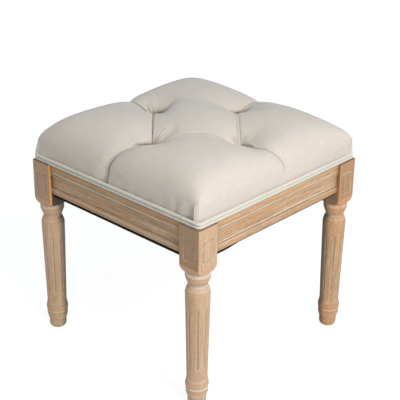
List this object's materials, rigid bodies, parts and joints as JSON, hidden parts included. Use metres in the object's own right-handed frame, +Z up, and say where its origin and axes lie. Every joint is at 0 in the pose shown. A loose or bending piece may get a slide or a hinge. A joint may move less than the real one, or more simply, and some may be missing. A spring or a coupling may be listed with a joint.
{
  "type": "upholstered stool",
  "caption": "Square upholstered stool with a tufted, welted seat on a moulded apron and turned, fluted wooden legs.",
  "frame": {"origin": "on the floor, under the middle of the stool", "axes": "+Z up, -Y towards the front rail, +X towards the right rail"},
  "size_m": [0.45, 0.45, 0.4775],
  "materials": {
    "oak": "limed and wax finished, open grain",
    "block_wood": "sawn, unfinished",
    "plywood": "unfinished plywood",
    "steel": "zinc plated",
    "linen": "plain weave linen look",
    "piping": "plain weave, cut on the bias",
    "foam": "open-cell polyurethane foam",
    "wadding": "polyester wadding",
    "twine": "twisted polyester",
    "disc_plastic": "moulded",
    "dust_cloth": "black non-woven cloth"
  },
  "bodies": {
    "root": {"leg_front_left": "oak", "leg_front_right": "oak", "leg_back_left": "oak", "leg_back_right": "oak", "rail_front": "oak", "rail_back": "oak", "rail_left": "oak", "rail_right": "oak", "rail_dowels": "block_wood", "corner_block_front_left": "block_wood", "corner_block_front_right": "block_wood", "corner_block_back_left": "block_wood", "corner_block_back_right": "block_wood", "corner_block_screws": "steel", "hanger_bolts": "steel", "bolt_washers": "steel", "bolt_nuts": "steel", "seat_board": "plywood", "seat_screws": "steel", "foam_pad": "foam", "wadding": "wadding", "seat_cover": "linen", "cover_staples": "steel", "tuft_twine": "twine", "twine_discs": "disc_plastic", "welt_sleeve": "piping", "welt_cords": "twine", "dust_cover": "dust_cloth", "dust_cover_staples": "steel"}
  },
  "joints": []
}
